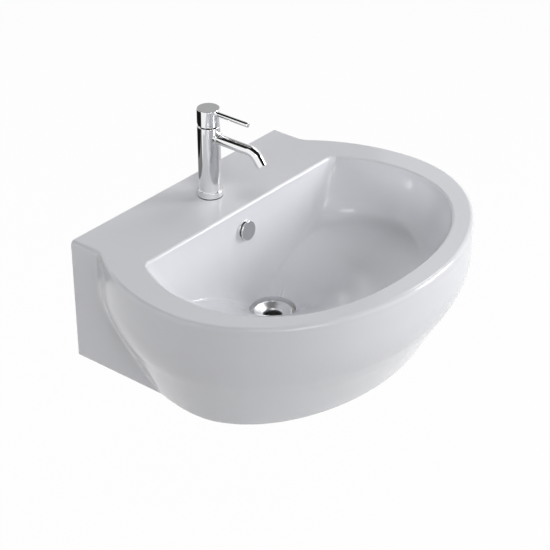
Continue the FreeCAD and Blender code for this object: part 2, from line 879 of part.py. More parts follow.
def moving_disc():
    """Ceramic disc whose pocket joins the inlets to the outlet when it slides forward."""
    middle = V(0, disc_rest, moving_disc_bottom)
    shape = Part.makeCylinder(moving_disc_radius, disc_height, middle)
    pocket = block(-pocket_half_width, pocket_half_width, disc_rest - disc_travel / 2,
                   disc_rest - disc_travel / 2 + pocket_length, moving_disc_bottom,
                   moving_disc_bottom + pocket_depth)
    return on_tap(shape.cut(pocket))


def disc_carrier():
    middle = V(0, disc_rest, carrier_bottom)
    shape = Part.makeCylinder(moving_disc_radius, carrier_height, middle)
    return on_tap(shape.cut(rod(carrier_pocket, ball_level - ball_radius - loose_gap,
                                carrier_bottom + carrier_height)))


def pivot_cylinder(radius, half):
    return Part.makeCylinder(radius, 2 * half, V(-half, 0, pivot_level), RIGHT)


def cartridge_rotor():
    """Swivel that turns in the housing and carries the lever's pivot pin."""
    shape = rod(cartridge_bore - slide_gap, rotor_bottom, rotor_top)
    shape = shape.cut(block(-rotor_slot / 2, rotor_slot / 2, -rotor_slot_front,
                            rotor_slot_back, rotor_bottom, rotor_top))
    return on_tap(shape.cut(pivot_cylinder(pivot_pin_radius, pivot_pin_half)))


def spindle_pin():
    return on_tap(pivot_cylinder(pivot_pin_radius, pivot_pin_half))


def lever_spindle():
    """Rocking lever: ball below, pivot hub, round shank and square end for the head."""
    square_bottom = head_bottom + square_start
    shape = Part.makeSphere(ball_radius, V(0, 0, ball_level))
    shape = shape.fuse(rod(spindle_neck, ball_level, pivot_level))
    half = spindle_hub / 2
    shape = shape.fuse(block(-half, half, -spindle_hub_depth / 2, spindle_hub_depth / 2,
                             pivot_level - spindle_hub_height / 2,
                             pivot_level + spindle_hub_height / 2))
    shape = shape.fuse(rod(spindle_radius, pivot_level, square_bottom))
    half = spindle_square / 2
    shape = shape.fuse(block(-half, half, -half, half, square_bottom,
                             square_bottom + square_height))
    hole = pivot_cylinder(pivot_pin_radius + slide_gap, pivot_pin_half)
    return on_tap(shape.cut(hole).removeSplitter())


def threaded_ring(bottom, top):
    """Ring screwed into the chamber's mouth, with two notches for its key."""
    shape = ring(chamber_radius - slide_gap, nut_bore, bottom, top)
    notch = block(-chamber_radius, chamber_radius, -nut_notch / 2, nut_notch / 2,
                  (bottom + top) / 2, top)
    return on_tap(shape.cut(notch))


def cartridge_nut():
    return threaded_ring(housing_top, housing_top + nut_height)


def trim_ring():
    shape = ring(chamber_radius - slide_gap, nut_bore, housing_top + nut_height, body_top)
    return on_tap(shape)


# ---------------------------------------------------------------- lever head

def head_relief():
    """What is cut from the head's back edge so that it can tip without touching."""
    lift = math.radians(lever_lift)
    above = body_top + loose_gap - pivot_level
    slope = math.tan(lift)
    start = ((head_bottom - pivot_level) * math.cos(lift) - above) / math.sin(lift)
    end = tap_radius + head_gap
    rise = slope * (end - start)
    corners = [V(-end, start, head_bottom), V(-end, end, head_bottom),
               V(-end, end, head_bottom + rise), V(-end, start, head_bottom)]
    return Part.Face(Part.makePolygon(corners)).extrude(RIGHT * (2 * end))


def lever_head():
    top = head_bottom + head_height
    shape = rod(tap_radius, head_bottom, top, head_edge)
    recess = ring(head_recess, hub_radius, head_bottom, head_bottom + head_recess_height)
    shape = shape.cut(recess)
    shape = shape.cut(rod(hub_radius, head_bottom, head_bottom + hub_lift))
    half = spindle_square / 2 + slide_gap
    shape = shape.cut(block(-half, half, -half, half, head_bottom,
                            head_bottom + square_start + square_height + slide_gap))
    shape = shape.cut(along_y(lever_radius, -tap_radius, -tap_radius + lever_root,
                              lever_height))
    shape = shape.cut(along_y(grub_radius, 0.0, hub_radius, head_bottom + grub_rise))
    shape = shape.cut(along_y(plug_radius, head_recess - open_end, tap_radius,
                              head_bottom + grub_rise))
    return on_tap(shape.cut(head_relief()))


def lever_pin():
    shape = along_y(lever_radius, -lever_reach, -tap_radius + lever_root, lever_height)
    tip = [e for e in shape.Edges
           if len(e.Vertexes) == 1 and e.BoundBox.YMax < -lever_reach + 1]
    return on_tap(shape.makeFillet(head_edge, tip))


def head_grub_screw():
    half = spindle_square / 2 + slide_gap
    shape = along_y(grub_radius - slide_gap, half, half + grub_length,
                    head_bottom + grub_rise)
    key = hexagon(grub_radius, 0.0, grub_length / 2)
    key.rotate(V(0, 0, 0), RIGHT, -90)
    key.translate(V(0, half + grub_length / 2, head_bottom + grub_rise))
    return on_tap(shape.cut(key))


def head_plug():
    end = tap_radius - loose_gap
    return on_tap(along_y(plug_radius - slide_gap, end - plug_length, end,
                          head_bottom + grub_rise))


def main():
    os.makedirs("parts", exist_ok=True)
    below_deck = -deck_thickness
    export("basin", basin())
    export("overflow_collar", overflow_collar())
    export("overflow_clip", overflow_clip())
    export("overflow_cover", overflow_cover())
    export("waste_flange", waste_flange())
    export("waste_upper_seal", waste_upper_seal())
    export("waste_lower_seal", waste_lower_seal())
    export("waste_slip_washer", waste_slip_washer())
    export("waste_backnut", waste_backnut())
    export("tap_base_seal", tap_base_seal())
    export("tap_base_ring", tap_base_ring())
    export("tap_body", tap_body())
    export("mounting_stud", mounting_stud())
    export("rubber_horseshoe", horseshoe(below_deck, rubber_height))
    export("steel_horseshoe", horseshoe(below_deck - rubber_height, plate_height))
    export("fixing_nut", fixing_nut())
    export("spout_tube", spout_tube())
    export("spout_collar", spout_collar())
    export("aerator_housing", aerator_housing())
    export("aerator_insert", aerator_insert())
    export("aerator_seal", aerator_seal())
    export("cartridge_port_seals", cartridge_port_seals())
    export("cartridge_base", cartridge_base())
    export("cartridge_housing", cartridge_housing())
    export("cartridge_side_seal", cartridge_side_seal())
    export("fixed_disc", fixed_disc())
    export("moving_disc", moving_disc())
    export("disc_carrier", disc_carrier())
    export("cartridge_rotor", cartridge_rotor())
    export("spindle_pin", spindle_pin())
    export("lever_spindle", lever_spindle())
    export("cartridge_nut", cartridge_nut())
    export("trim_ring", trim_ring())
    export("lever_head", lever_head())
    export("lever_pin", lever_pin())
    export("head_grub_screw", head_grub_screw())
    export("head_plug", head_plug())


main()
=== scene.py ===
"""A semi recessed basin and its lever tap: finishes, cut threads, studio and camera."""

import json
import math

import bmesh
import bpy
from mathutils import Matrix, Vector
from mathutils.bvhtree import BVHTree


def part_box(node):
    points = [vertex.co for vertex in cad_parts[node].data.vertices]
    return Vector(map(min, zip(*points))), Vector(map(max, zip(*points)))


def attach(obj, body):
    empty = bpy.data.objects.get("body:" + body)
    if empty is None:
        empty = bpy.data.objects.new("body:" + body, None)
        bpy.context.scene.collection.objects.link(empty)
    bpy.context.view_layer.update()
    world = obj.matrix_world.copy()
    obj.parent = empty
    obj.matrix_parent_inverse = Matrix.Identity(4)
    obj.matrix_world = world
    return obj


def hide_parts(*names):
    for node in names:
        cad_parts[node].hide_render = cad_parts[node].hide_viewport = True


bl_info = {
    "name": "Semi Recessed Basin",
    "version": (1, 0, 0),
    "blender": (4, 5, 0),
    "location": "View3D > Sidebar > Basin",
    "description": "Finishes a semi recessed basin and its lever tap for a studio picture",
    "category": "Object",
}

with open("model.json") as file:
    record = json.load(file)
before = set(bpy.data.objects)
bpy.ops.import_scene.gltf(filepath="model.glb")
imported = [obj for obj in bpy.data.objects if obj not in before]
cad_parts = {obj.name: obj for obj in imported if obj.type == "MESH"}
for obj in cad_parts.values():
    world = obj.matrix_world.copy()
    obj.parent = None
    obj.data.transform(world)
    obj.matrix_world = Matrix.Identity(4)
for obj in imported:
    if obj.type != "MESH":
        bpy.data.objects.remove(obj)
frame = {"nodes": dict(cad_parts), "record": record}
NODES = frame["nodes"]
MOUNTS = {mount["name"]: mount for mount in frame["record"]["mounts"]}
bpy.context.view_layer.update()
UP = Vector((0, 0, 1))
WHITE = (1.0, 1.0, 1.0, 1.0)
FILM_WIDTH = 36.0   # millimetres


# ---------------------------------------------------------------- shader formulas

class Signal:
    """A number that varies over a surface, for use in formulas."""

    def __init__(self, finish, socket):
        self.finish = finish
        self.socket = socket

    def __add__(self, other):
        return self.finish.maths("ADD", self, other)

    __radd__ = __add__

    def __sub__(self, other):
        return self.finish.maths("SUBTRACT", self, other)

    def __rsub__(self, other):
        return self.finish.maths("SUBTRACT", other, self)

    def __mul__(self, other):
        return self.finish.maths("MULTIPLY", self, other)

    __rmul__ = __mul__

    def fraction(self):
        """What is left above the next lower whole number."""
        return self.finish.maths("FRACT", self)

    def clamped(self):
        """The number held between 0 and 1."""
        return self.finish.node("ShaderNodeClamp", {}, {"Value": self})

    def eased(self, low, high):
        """0 below low, 1 above high and a smooth step between them."""
        return self.finish.node(
            "ShaderNodeMapRange", {"interpolation_type": "SMOOTHSTEP"},
            {"Value": self, "From Min": low, "From Max": high}, "Result")

    def beside(self, output):
        """Another output of the node that this number comes from."""
        return Signal(self.finish, self.socket.node.outputs[output])


class Finish:
    """A material, or the world around it, and the nodes that make its look."""

    def __init__(self, name, world=None):
        self.material = world or bpy.data.materials.new(name)
        self.material.use_nodes = True
        self.tree = self.material.node_tree
        self.tree.nodes.clear()

    def add(self, kind, settings, sockets):
        """Add a node: its settings first, then the values or links of its sockets."""
        made = self.tree.nodes.new(kind)
        for name, value in settings.items():
            setattr(made, name, value)
        for key, value in sockets.items():
            if isinstance(value, Signal):
                self.tree.links.new(value.socket, made.inputs[key])
            else:
                made.inputs[key].default_value = value
        return made

    def node(self, kind, settings, sockets, output=0):
        """Add a node and return one of its outputs."""
        return Signal(self, self.add(kind, settings, sockets).outputs[output])

    def maths(self, operation, *values):
        """One step of a formula on numbers."""
        return self.node("ShaderNodeMath", {"operation": operation}, dict(enumerate(values)))

    def place(self):
        """Where a point is, in metres in the part's own frame."""
        return self.node("ShaderNodeTexCoord", {}, {}, "Object")

    def level(self):
        """How high a point is, in metres above the wall holes."""
        return self.node("ShaderNodeSeparateXYZ", {}, {"Vector": self.place()}, "Z")

    def stretched(self, *scale):
        """The place with each axis scaled on its own."""
        return self.node("ShaderNodeVectorMath", {"operation": "MULTIPLY"},
                         {0: self.place(), 1: scale})

    def noise(self, scale, detail=2.0, place=None):
        """A soft random cloud from 0 to 1, with about scale waves to a metre."""
        return self.node("ShaderNodeTexNoise", {}, {
            "Vector": place or self.place(), "Scale": scale, "Detail": detail}, "Fac")

    def blend(self, factor, low, high):
        """A colour between two colours."""
        factor_input, low_input, high_input, colour_output = 0, 6, 7, 2
        return self.node("ShaderNodeMix", {"data_type": "RGBA"},
                         {factor_input: factor, low_input: low, high_input: high},
                         colour_output)

    def bump(self, height, distance, strength):
        """The face's direction, tilted as if the surface rose by height times distance."""
        return self.node("ShaderNodeBump", {}, {
            "Height": height, "Distance": distance, "Strength": strength}, "Normal")

    def surface(self, sockets):
        """Finish the material with one shader."""
        self.show(self.node("ShaderNodeBsdfPrincipled", {}, sockets, "BSDF"))
        return self.material

    def show(self, shader, kind="ShaderNodeOutputMaterial"):
        """Lead a shader to the output."""
        self.add(kind, {}, {"Surface": shader})


def shaded(colour, share=1.0):
    """A colour for a socket, lighter or darker by a share."""
    return (colour[0] * share, colour[1] * share, colour[2] * share, 1.0)


def grey(tone):
    return shaded((tone, tone, tone))


# ---------------------------------------------------------------- finishes

def glaze(settings):
    """Fired glaze: clear, level and hard, with the slow ripple of a poured coat."""
    finish = Finish("glaze")
    slow = finish.noise(scale=7.0, detail=3.0)
    fine = finish.noise(scale=95.0)
    tone = finish.blend(slow, shaded(settings.glaze_colour, 0.985),
                        shaded(settings.glaze_colour, 1.01))
    ripple = slow * 0.8 + fine * 0.06
    return finish.surface({
        "Base Color": tone,
        "Roughness": settings.glaze_roughness + fine * 0.03,
        "Normal": finish.bump(ripple, distance=settings.glaze_ripple, strength=0.6)})


def raw_clay(settings):
    """The bare body on the faces that no glaze reaches: matt, warm and finely grained."""
    finish = Finish("raw_clay")
    cloud = finish.noise(scale=14.0, detail=4.0)
    grain = finish.noise(scale=1400.0)
    pits = finish.noise(scale=260.0, detail=1.0).eased(low=0.66, high=0.74)
    wash = finish.noise(scale=9.0, detail=3.0).eased(low=0.5, high=0.72)
    body = finish.blend(cloud, shaded(settings.clay_colour, 0.94),
                        shaded(settings.clay_colour, 1.03))
    washed = finish.blend(wash * 0.25, body, shaded(settings.glaze_colour))
    tone = finish.blend(pits * 0.5, washed, shaded(settings.clay_colour, 0.6))
    return finish.surface({
        "Base Color": tone,
        "Roughness": 0.82 - wash * 0.2,
        "Normal": finish.bump(grain * 0.5 - pits, distance=0.0003, strength=0.7)})


def chrome(settings, name="chrome", dulled=0.0):
    """Bright plating with the faint cloudiness that wiping leaves."""
    finish = Finish(name)
    wiped = finish.noise(scale=60.0, detail=3.0, place=finish.stretched(1.0, 1.0, 0.15))
    specks = finish.noise(scale=900.0, detail=1.0).eased(low=0.68, high=0.76)
    tone = finish.blend(wiped, shaded(settings.chrome_colour, 0.97),
                        shaded(settings.chrome_colour))
    waves = finish.noise(scale=30.0)
    return finish.surface({
        "Base Color": tone,
        "Metallic": 1.0,
        "Roughness": dulled + settings.chrome_roughness + wiped * 0.03 + specks * 0.05,
        "Normal": finish.bump(waves, distance=0.00005, strength=0.4)})


def painted_shade_bore(settings):
    """The inside of the waste, which plating hardly reaches and water has dulled, painted near
    black as painted shade for the dark hole.
    """
    finish = Finish("painted_shade_bore")
    limescale = finish.noise(scale=180.0, detail=4.0).eased(low=0.35, high=0.7)
    # Painted shade: both colours are near black, to stand for the shade inside the hole; the
    # limescale patches fall between them at random.
    tone = finish.blend(limescale, shaded(settings.bore_painted_shade_colour),
                        shaded(settings.limescale_in_painted_shade_colour))
    return finish.surface({
        "Base Color": tone,
        "Roughness": 0.5 + limescale * 0.3,
        "Normal": finish.bump(limescale, distance=0.0001, strength=0.4)})


def turned_brass(settings, name="brass", painted_shade_factor=1.0):
    """Machined brass with fine tool rings and a little tarnish, darkened by a factor where
    painted shade stands for the shade under other parts.
    """
    finish = Finish(name)
    rings_to_a_metre = 2600.0
    rings = (finish.level() * rings_to_a_metre).fraction()
    tarnish = finish.noise(scale=120.0, detail=4.0).eased(low=0.45, high=0.75)
    tone = finish.blend(tarnish * 0.6, shaded(settings.brass_colour, painted_shade_factor),
                        shaded(settings.brass_colour, 0.55 * painted_shade_factor))
    return finish.surface({
        "Base Color": tone,
        "Metallic": 1.0,
        "Roughness": 0.26 + tarnish * 0.25,
        "Normal": finish.bump(rings, distance=0.00008, strength=0.4)})


def plated_steel(settings):
    """Zinc plated steel: cool grey with drawn streaks and clouded crystals."""
    finish = Finish("bare_steel")
    streaks = finish.noise(scale=500.0, place=finish.stretched(1.0, 1.0, 0.05))
    crystals = finish.noise(scale=160.0, detail=3.0)
    tone = finish.blend(crystals, shaded(settings.steel_colour, 0.8),
                        shaded(settings.steel_colour, 1.12))
    return finish.surface({
        "Base Color": tone,
        "Metallic": 1.0,
        "Roughness": 0.3 + crystals * 0.2,
        "Normal": finish.bump(streaks, distance=0.00006, strength=0.5)})


def rubber(settings):
    """Moulded black rubber, dull, with a dusting of chalk."""
    finish = Finish("black_rubber")
    chalk = finish.noise(scale=220.0, detail=4.0).eased(low=0.5, high=0.85)
    grain = finish.noise(scale=2400.0)
    tone = finish.blend(chalk * 0.35, shaded(settings.rubber_colour),
                        shaded(settings.rubber_colour, 4.0))
    return finish.surface({
        "Base Color": tone,
        "Roughness": 0.55 + chalk * 0.25,
        "Normal": finish.bump(grain, distance=0.00005, strength=0.5)})


def moulded(name, colour, roughness):
    """Moulded plastic with the soft spark erosion texture of its tool."""
    finish = Finish(name)
    texture = finish.noise(scale=1700.0)
    flow = finish.noise(scale=40.0)
    tone = finish.blend(flow, shaded(colour, 0.95), shaded(colour, 1.03))
    return finish.surface({
        "Base Color": tone,
        "Roughness": roughness + texture * 0.12,
        "Normal": finish.bump(texture, distance=0.00006, strength=0.5)})


def lapped_disc(settings):
    """Hard white oxide ceramic, ground and lapped to a satin face."""
    finish = Finish("white_disc")
    grain = finish.noise(scale=3000.0)
    tone = finish.blend(grain, shaded(settings.glaze_colour, 0.97),
                        shaded(settings.glaze_colour, 1.04))
    return finish.surface({
        "Base Color": tone,
        "Roughness": 0.3 + grain * 0.1,
        "Normal": finish.bump(grain, distance=0.00001, strength=0.3)})


def studio_floor(settings):
    """Pale floor: white to the eye and in reflections, with the part's own soft shadow."""
    finish = Finish("studio_floor")
    tone = finish.blend(finish.noise(scale=3.0), grey(0.86), grey(0.88))
    lit = finish.node("ShaderNodeBsdfDiffuse", {}, {"Color": tone}, "BSDF")
    white = finish.node("ShaderNodeEmission", {}, {"Color": WHITE, "Strength": 1.0},
                        "Emission")
    seen = seen_or_mirrored(finish) * settings.floor_whiteness
    finish.show(finish.node("ShaderNodeMixShader", {}, {0: seen, 1: lit, 2: white}))
    return finish.material


def seen_or_mirrored(finish):
    """1 for rays from the camera, off polished faces and through clear ones."""
    seen = finish.node("ShaderNodeLightPath", {}, {}, "Is Camera Ray")
    mirrored = seen.beside("Is Glossy Ray")
    through = seen.beside("Is Transmission Ray")
    return (seen + mirrored + through).clamped()


def flag_paint(name, tone):
    """An almost even tone that polished faces see in place of the white room."""
    finish = Finish(name)
    paint = finish.blend(finish.noise(scale=2.0), grey(tone * 0.97), grey(tone * 1.03))
    finish.show(finish.node("ShaderNodeEmission", {}, {"Color": paint}, "Emission"))
    return finish.material


# ---------------------------------------------------------------- settings

def colour_setting(name, description, default):
    return bpy.props.FloatVectorProperty(
        name=name, description=description, default=default, subtype="COLOR", size=3,
        min=0.0, max=1.0)


def length_setting(name, description, default):
    return bpy.props.FloatProperty(
        name=name, description=description, default=default, subtype="DISTANCE",
        unit="LENGTH")


def share_setting(name, description, default):
    return bpy.props.FloatProperty(
        name=name, description=description, default=default, subtype="FACTOR",
        min=0.0, max=1.0)


def angle_setting(name, description, default):
    """A setting whose default is given in degrees."""
    return bpy.props.FloatProperty(
        name=name, description=description, default=math.radians(default),
        subtype="ANGLE", unit="ROTATION")


def power_setting(name, description, default):
    return bpy.props.FloatProperty(
        name=name, description=description, default=default, subtype="POWER",
        unit="POWER", min=0.0)


class CeramicSettings(bpy.types.PropertyGroup):
    glaze_colour: colour_setting(
        "Glaze", "Colour of the fired glaze", (0.79, 0.797, 0.832))
    glaze_roughness: share_setting(
        "Glaze roughness", "How blurred the glaze's reflections are", 0.09)
    glaze_ripple: length_setting(
        "Glaze ripple", "Height of the slow ripple in the glaze", 0.0012)
    clay_colour: colour_setting(
        "Bare clay", "Colour of the unglazed faces", (0.66, 0.62, 0.56))


class FittingSettings(bpy.types.PropertyGroup):
    chrome_colour: colour_setting(
        "Chrome", "Colour of the plated faces", (0.90, 0.905, 0.91))
    chrome_roughness: share_setting(
        "Chrome roughness", "How blurred the chrome's reflections are", 0.03)
    waste_satin: share_setting(
        "Waste satin", "How much duller the waste's plating is than the tap's", 0.24)
    # Painted shade: the bore and limescale colours are near black for the shade inside the
    # waste's hole.
    bore_painted_shade_colour: colour_setting(
        "Bore", "Colour of the bare bore of the waste", (0.035, 0.035, 0.035))
    limescale_in_painted_shade_colour: colour_setting(
        "Limescale", "Colour of the film that water leaves in the bore",
        (0.075, 0.073, 0.07))
    brass_colour: colour_setting(
        "Brass", "Colour of the turned brass", (0.72, 0.56, 0.28))
    # Painted shade: the brass under the tap's head is painted darker by this share.
    inner_brass_painted_shade: share_setting(
        "Inner brass", "How bright the brass under the tap's head looks", 0.2)
    steel_colour: colour_setting(
        "Steel", "Colour of the zinc plated steel", (0.55, 0.56, 0.57))
    rubber_colour: colour_setting(
        "Rubber", "Colour of the seals", (0.02, 0.02, 0.02))
    white_plastic_colour: colour_setting(
        "White plastic", "Colour of the white mouldings", (0.78, 0.78, 0.76))
    grey_plastic_colour: colour_setting(
        "Grey plastic", "Colour of the grey mouldings", (0.22, 0.23, 0.25))


class ThreadSettings(bpy.types.PropertyGroup):
    tail_pitch: length_setting(
        "Tail pitch", "Rise of the waste tail's pipe thread in one turn", 0.002309)
    tail_depth: length_setting("Tail depth", "Depth of the pipe thread", 0.00125)
    stud_pitch: length_setting(
        "Stud pitch", "Rise of the stud's thread in one turn", 0.00125)
    stud_depth: length_setting("Stud depth", "Depth of the stud's thread", 0.0007)


class StudioSettings(bpy.types.PropertyGroup):
    floor_level: length_setting(
        "Floor", "Height of the floor under the hung basin", -0.78)
    floor_reach: length_setting(
        "Floor reach", "From the wall holes to each edge of the floor", 12.0)
    floor_whiteness: share_setting(
        "Floor whiteness", "How far the floor turns to plain white for the eye", 0.97)
    lamp_distance: length_setting(
        "Lamp distance", "From the middle of the basin to each lamp", 3.0)
    lamp_size: length_setting("Lamp size", "Side of each square lamp", 1.2)
    key_power: power_setting("Key", "Power of the low lamp at the front right", 55.0)
    front_power: power_setting("Front", "Power of the low lamp in front", 21.4)
    back_power: power_setting("Back", "Power of the low lamp behind", 32.0)
    far_power: power_setting("Far", "Power of the low lamp behind at the right", 10.0)
    high_left_power: power_setting("High left", "Power of the high lamp at the left", 23.0)
    high_right_power: power_setting(
        "High right", "Power of the high lamp at the right", 15.2)
    camera_turn: angle_setting("Turn", "Turn of the camera about the part", -50.23)
    camera_height: angle_setting("Height", "How far the camera looks down", 30.82)
    camera_roll: angle_setting("Roll", "Roll of the camera", -0.455)
    camera_place: bpy.props.FloatVectorProperty(
        name="Place", description="Where the camera stands", subtype="TRANSLATION",
        unit="LENGTH", size=3, default=(-1.90215, -1.77527, 1.45038))
    camera_lens: bpy.props.FloatProperty(
        name="Lens", description="Focal length of the camera", default=124.04, min=10.0,
        subtype="DISTANCE_CAMERA", unit="CAMERA")


# ---------------------------------------------------------------- helpers for operators

def wear(slot, material):
    """Give each node that the record puts in this slot one material."""
    for piece in frame["record"]["subparts"]:
        if piece["material_slot"] != slot:
            continue
        mesh = NODES[piece["node"]].data
        mesh.materials.clear()
        mesh.materials.append(material)


def unglazed(mesh):
    """Indices of the basin's faces that stand on the kiln shelf, meet the wall or lie inside."""
    tree = BVHTree.FromPolygons([v.co for v in mesh.vertices],
                                [p.vertices for p in mesh.polygons])
    # limits of a face's direction along Y and Z, then the rays' start off the face and lean
    to_wall, to_floor, wall_depth = 0.9, -0.6, 0.001
    lift, climb = 0.0002, 0.8
    found = []
    for face in mesh.polygons:
        normal = face.normal
        at_wall = normal.y > to_wall and face.center.y > -wall_depth
        if normal.z < to_floor or at_wall:
            found.append(face.index)
            continue
        way_out = (normal + UP * climb).normalized()
        hit = tree.ray_cast(face.center + normal * lift, way_out)
        if hit[0] is not None:
            found.append(face.index)
    return found


def middle_line(node):
    """The point on a node's upright middle line that is level with the wall holes."""
    low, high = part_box(node)
    middle = (Vector(low) + Vector(high)) / 2
    middle.z = 0.0
    return middle


def area_lamp(name, turn, lift, power, settings):
    """A large soft lamp that faces the middle of the basin."""
    way = Vector((math.cos(turn) * math.cos(lift), math.sin(turn) * math.cos(lift),
                  math.sin(lift)))
    light = bpy.data.lights.new(name, "AREA")
    light.shape = "SQUARE"
    light.size = settings.lamp_size
    light.energy = power
    lamp = bpy.data.objects.new(name, light)
    lamp.location = middle_line("basin") + way * settings.lamp_distance
    lamp.rotation_euler = (-way).to_track_quat("-Z", "Y").to_euler()
    bpy.context.scene.collection.objects.link(lamp)
    return lamp


def flat_panel(name, corners, material):
    """A thin sheet between four corners."""
    mesh = bpy.data.meshes.new(name)
    mesh.from_pydata(corners, [], [(0, 1, 2, 3)])
    mesh.materials.append(material)
    panel = bpy.data.objects.new(name, mesh)
    bpy.context.scene.collection.objects.link(panel)
    return panel


def hang_flag(name, corners, material):
    """A sheet that only polished faces see."""
    flag = flat_panel(name, corners, material)
    flag.visible_camera = False
    flag.visible_diffuse = False
    flag.visible_shadow = False
    flag.visible_transmission = False


def upright_sheet(across, heights, behind):
    """Corners of an upright sheet at a distance behind the wall face."""
    (left, right), (low, high) = across, heights
    return ((left, behind, low), (right, behind, low), (right, behind, high),
            (left, behind, high))


# ---------------------------------------------------------------- threads

def helical_wedge(axis, crest, pitch, depth, low, high):
    """The closed shape that a threading die takes out of a rod, wound round its axis."""
    steps_a_turn = 40
    # half the cut's width at the crest and at the root, and its reach past the crest
    mouth, root, over = 0.43 * pitch, 0.07 * pitch, 0.4 * depth
    section = ((crest - depth, -root), (crest, -mouth), (crest + over, -mouth),
               (crest + over, mouth), (crest, mouth), (crest - depth, root))
    wedge = bmesh.new()
    rings = []
    for step in range(int((high - low) / pitch * steps_a_turn) + 1):
        turn = 2 * math.pi * step / steps_a_turn
        way = Vector((math.cos(turn), math.sin(turn), 0.0))
        middle = axis + UP * (low + pitch * step / steps_a_turn)
        rings.append([wedge.verts.new(middle + way * radius + UP * rise)
                      for radius, rise in section])
    sides = len(section)
    for ring, after in zip(rings, rings[1:]):
        for i in range(sides):
            j = (i + 1) % sides
            wedge.faces.new((ring[i], ring[j], after[j], after[i]))
    wedge.faces.new(rings[0])
    wedge.faces.new(rings[-1])
    bmesh.ops.recalc_face_normals(wedge, faces=wedge.faces)
    return wedge


def threaded(node, name, pitch, depth, crest, top):
    """A copy of an upright turned node with a thread cut from its lower end up to a level."""
    scene = bpy.context.scene.collection
    bottom = Vector(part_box(node)[0]).z
    tool_mesh = bpy.data.meshes.new(name + "_tool")
    wedge = helical_wedge(middle_line(node), crest, pitch, depth, bottom - pitch, top)
    wedge.to_mesh(tool_mesh)
    wedge.free()
    tool = bpy.data.objects.new(name + "_tool", tool_mesh)
    scene.objects.link(tool)
    blank = bmesh.new()
    blank.from_mesh(NODES[node].data)
    bmesh.ops.remove_doubles(blank, verts=blank.verts, dist=1e-6)
    mesh = bpy.data.meshes.new(name)
    blank.to_mesh(mesh)
    blank.free()
    piece = bpy.data.objects.new(name, mesh)
    scene.objects.link(piece)
    cut = piece.modifiers.new("thread", "BOOLEAN")
    cut.operation = "DIFFERENCE"
    cut.solver = "EXACT"
    cut.object = tool
    depsgraph = bpy.context.evaluated_depsgraph_get()
    piece.data = bpy.data.meshes.new_from_object(piece.evaluated_get(depsgraph))
    piece.modifiers.clear()
    bpy.data.objects.remove(tool)
    if not piece.data.polygons:
        raise RuntimeError("no thread could be cut on " + node)
    piece.data.materials.clear()
    return piece


# ---------------------------------------------------------------- operators

class BASIN_OT_glaze_basin(bpy.types.Operator):
    """Glaze the basin and leave its wall face, foot and inside bare"""
    bl_idname = "basin.glaze_basin"
    bl_label = "Glaze the Basin"

    def execute(self, context):
        settings = context.scene.basin_ceramic
        mesh = NODES["basin"].data
        wear("glaze", glaze(settings))
        mesh.materials.append(raw_clay(settings))
        for index in unglazed(mesh):
            mesh.polygons[index].material_index = 1
        return {"FINISHED"}


class BASIN_OT_plate_fittings(bpy.types.Operator):
    """Chrome plate the tap, the overflow cover and the waste"""
    bl_idname = "basin.plate_fittings"
    bl_label = "Plate the Fittings"

    def execute(self, context):
        wear("chrome", chrome(context.scene.basin_fittings))
        return {"FINISHED"}


class BASIN_OT_finish_hardware(bpy.types.Operator):
    """Finish the brass, steel, rubber, plastic and ceramic pieces inside and below"""
    bl_idname = "basin.finish_hardware"
    bl_label = "Finish the Hardware"

    def execute(self, context):
        settings = context.scene.basin_fittings
        wear("brass", turned_brass(settings))
        # Painted shade: the cartridge nut and lever spindle under the head get a darkened copy
        # of the brass.
        brass_in_painted_shade = turned_brass(settings, "painted_shade_brass", settings.inner_brass_painted_shade)
        for node in ("cartridge_nut", "lever_spindle"):
            NODES[node].data.materials[0] = brass_in_painted_shade
        wear("bare_steel", plated_steel(settings))
        wear("black_rubber", rubber(settings))
        wear("white_plastic", moulded("white_plastic", settings.white_plastic_colour, 0.4))
        wear("grey_plastic", moulded("grey_plastic", settings.grey_plastic_colour, 0.45))
        wear("white_disc", lapped_disc(context.scene.basin_ceramic))
        return {"FINISHED"}


class BASIN_OT_thread_waste(bpy.types.Operator):
    """Cut the pipe thread on the waste's tail and darken its bore with painted shade"""
    bl_idname = "basin.thread_waste"
    bl_label = "Thread the Waste"

    def execute(self, context):
        settings, fittings = context.scene.basin_threads, context.scene.basin_fittings
        thread_top, bore_top, bore_margin = -0.122, -0.104, 0.0005
        crest = MOUNTS["waste_tail"]["dims"]["r_mm"] / 1000
        bore_reach = MOUNTS["waste_bore"]["dims"]["r_mm"] / 1000 + bore_margin
        piece = threaded("waste_flange", "threaded_waste", settings.tail_pitch,
                         settings.tail_depth, crest, thread_top)
        piece.data.materials.append(chrome(fittings, "satin_chrome", fittings.waste_satin))
        piece.data.materials.append(painted_shade_bore(fittings))
        axis = middle_line("waste_flange")
        # Faces in the bore take the near black painted shade.
        for face in piece.data.polygons:
            outward = (face.center - axis).to_2d()
            in_painted_shade_bore = outward.length < bore_reach and face.center.z < bore_top
            face.material_index = int(in_painted_shade_bore)
        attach(piece, "basin_and_tap")
        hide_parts("waste_flange")
        return {"FINISHED"}


class BASIN_OT_thread_stud(bpy.types.Operator):
    """Cut the fine thread on the stud that holds the tap down"""
    bl_idname = "basin.thread_stud"
    bl_label = "Thread the Stud"

    def execute(self, context):
        settings = context.scene.basin_threads
        low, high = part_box("mounting_stud")
        crest = (high[0] - low[0]) / 2
        piece = threaded("mounting_stud", "threaded_stud", settings.stud_pitch,
                         settings.stud_depth, crest, high[2] - crest)
        piece.data.materials.append(plated_steel(context.scene.basin_fittings))
        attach(piece, "basin_and_tap")
        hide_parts("mounting_stud")
        return {"FINISHED"}


